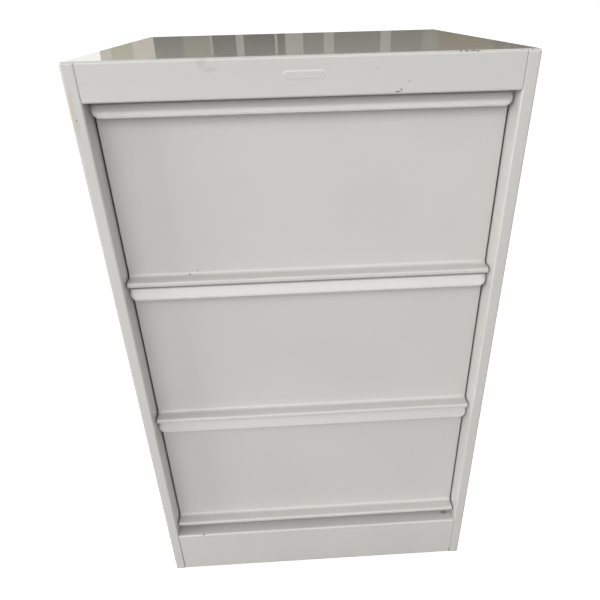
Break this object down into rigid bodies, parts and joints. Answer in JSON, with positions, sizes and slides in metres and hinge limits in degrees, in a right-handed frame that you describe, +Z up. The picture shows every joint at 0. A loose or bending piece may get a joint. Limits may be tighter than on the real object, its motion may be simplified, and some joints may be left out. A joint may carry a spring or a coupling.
{
  "type": "steel drawer file cabinet",
  "caption": "Narrow sheet-steel file cabinet: a top rail, recessed drawer fronts with full-width sloped pull lips, ball-bearing drawer slides and a plinth.",
  "frame": {"origin": "middle of the footprint, on the floor", "axes": "+Z up, -Y out of the drawer fronts, +X to the right of someone facing the fronts"},
  "size_m": [0.435, 0.41, 0.7],
  "materials": {
    "cream_paint": "glossy warm-white stove enamel, with a faint orange peel",
    "zinc_plate": "bright zinc-plated rolled steel",
    "ball_steel": "polished ball steel with a film of grease",
    "cage_nylon": "black moulded nylon",
    "foot_nylon": "dark moulded nylon",
    "buffer_rubber": "soft black rubber"
  },
  "bodies": {
    "cabinet": {"body_shell": "cream_paint", "back_panel": "cream_paint", "base_pan": "cream_paint", "left_front_upright": "cream_paint", "left_rear_upright": "cream_paint", "right_front_upright": "cream_paint", "right_rear_upright": "cream_paint", "foot_brackets": "cream_paint", "foot_pads": "foot_nylon", "foot_studs": "zinc_plate", "foot_nuts": "zinc_plate", "slide_screws": "zinc_plate", "slide_stops": "buffer_rubber", "left_slide_1_cabinet_member": "zinc_plate", "right_slide_1_cabinet_member": "zinc_plate", "left_slide_2_cabinet_member": "zinc_plate", "right_slide_2_cabinet_member": "zinc_plate", "left_slide_3_cabinet_member": "zinc_plate", "right_slide_3_cabinet_member": "zinc_plate"},
    "drawer_1": {"drawer_1_front": "cream_paint", "drawer_1_tray": "cream_paint", "drawer_1_back": "cream_paint", "drawer_1_rivets": "zinc_plate", "left_slide_1_drawer_member": "zinc_plate", "right_slide_1_drawer_member": "zinc_plate"},
    "drawer_2": {"drawer_2_front": "cream_paint", "drawer_2_tray": "cream_paint", "drawer_2_back": "cream_paint", "drawer_2_rivets": "zinc_plate", "left_slide_2_drawer_member": "zinc_plate", "right_slide_2_drawer_member": "zinc_plate"},
    "drawer_3": {"drawer_3_front": "cream_paint", "drawer_3_tray": "cream_paint", "drawer_3_back": "cream_paint", "drawer_3_rivets": "zinc_plate", "left_slide_3_drawer_member": "zinc_plate", "right_slide_3_drawer_member": "zinc_plate"},
    "left_ball_cage_1": {"left_slide_1_ball_cage": "cage_nylon", "left_slide_1_balls": "ball_steel"},
    "right_ball_cage_1": {"right_slide_1_ball_cage": "cage_nylon", "right_slide_1_balls": "ball_steel"},
    "left_ball_cage_2": {"left_slide_2_ball_cage": "cage_nylon", "left_slide_2_balls": "ball_steel"},
    "right_ball_cage_2": {"right_slide_2_ball_cage": "cage_nylon", "right_slide_2_balls": "ball_steel"},
    "left_ball_cage_3": {"left_slide_3_ball_cage": "cage_nylon", "left_slide_3_balls": "ball_steel"},
    "right_ball_cage_3": {"right_slide_3_ball_cage": "cage_nylon", "right_slide_3_balls": "ball_steel"}
  },
  "joints": [
    {"name": "drawer_1_slide", "type": "slide", "parent": "cabinet", "child": "drawer_1", "axis": [0, -1, 0], "range_m": [0, 0.26]},
    {"name": "drawer_2_slide", "type": "slide", "parent": "cabinet", "child": "drawer_2", "axis": [0, -1, 0], "range_m": [0, 0.26]},
    {"name": "drawer_3_slide", "type": "slide", "parent": "cabinet", "child": "drawer_3", "axis": [0, -1, 0], "range_m": [0, 0.26]},
    {"name": "left_cage_1_roll", "type": "slide", "parent": "cabinet", "child": "left_ball_cage_1", "axis": [0, -1, 0], "range_m": [0, 0.13]},
    {"name": "right_cage_1_roll", "type": "slide", "parent": "cabinet", "child": "right_ball_cage_1", "axis": [0, -1, 0], "range_m": [0, 0.13]},
    {"name": "left_cage_2_roll", "type": "slide", "parent": "cabinet", "child": "left_ball_cage_2", "axis": [0, -1, 0], "range_m": [0, 0.13]},
    {"name": "right_cage_2_roll", "type": "slide", "parent": "cabinet", "child": "right_ball_cage_2", "axis": [0, -1, 0], "range_m": [0, 0.13]},
    {"name": "left_cage_3_roll", "type": "slide", "parent": "cabinet", "child": "left_ball_cage_3", "axis": [0, -1, 0], "range_m": [0, 0.13]},
    {"name": "right_cage_3_roll", "type": "slide", "parent": "cabinet", "child": "right_ball_cage_3", "axis": [0, -1, 0], "range_m": [0, 0.13]}
  ],
  "couplings": [
    {"joint": "left_cage_1_roll", "follows": "drawer_1_slide", "ratio": 0.5},
    {"joint": "right_cage_1_roll", "follows": "drawer_1_slide", "ratio": 0.5},
    {"joint": "left_cage_2_roll", "follows": "drawer_2_slide", "ratio": 0.5},
    {"joint": "right_cage_2_roll", "follows": "drawer_2_slide", "ratio": 0.5},
    {"joint": "left_cage_3_roll", "follows": "drawer_3_slide", "ratio": 0.5},
    {"joint": "right_cage_3_roll", "follows": "drawer_3_slide", "ratio": 0.5}
  ]
}
